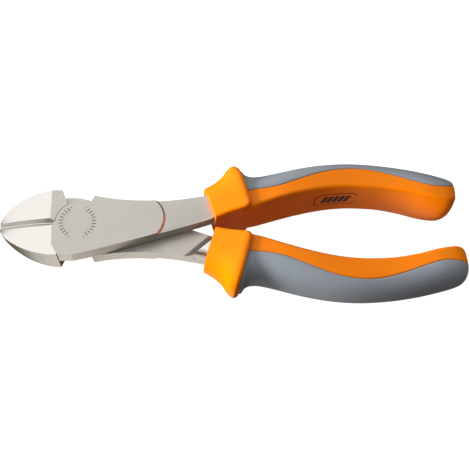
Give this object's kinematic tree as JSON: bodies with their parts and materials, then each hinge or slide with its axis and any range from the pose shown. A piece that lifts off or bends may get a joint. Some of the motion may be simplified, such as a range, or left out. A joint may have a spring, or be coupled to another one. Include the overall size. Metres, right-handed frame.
{
  "type": "diagonal cutting pliers",
  "caption": "Hand tool with two leaf-shaped cutting jaws on a riveted lap joint and two curved two-colour insulated grips with hand guards.",
  "frame": {"origin": "where the pivot axis meets the joint's flat rear face", "axes": "+X from the pivot towards the handle ends, +Y towards the front half's handle, +Z out of the joint's front face along the pivot axis"},
  "size_m": [0.1779, 0.0576, 0.0228],
  "materials": {
    "steel": "satin nickel-chrome plating, jaw bevels ground bright",
    "sleeve": "semi-gloss hard plastic",
    "pad": "soft matt thermoplastic rubber",
    "plaque": "satin"
  },
  "bodies": {
    "rear": {"rear_half": "steel", "pivot_rivet": "steel", "rear_grip_body": "sleeve", "rear_grip_pad": "pad", "rear_grip_plaque": "plaque"},
    "front": {"front_half": "steel", "front_grip_body": "sleeve", "front_grip_pad": "pad", "front_grip_plaque": "plaque"}
  },
  "joints": [
    {"name": "pivot", "type": "hinge", "parent": "rear", "child": "front", "pos_m": [0, 0, 0.006], "axis": [0, 0, 1], "range_deg": [0, 50]}
  ]
}
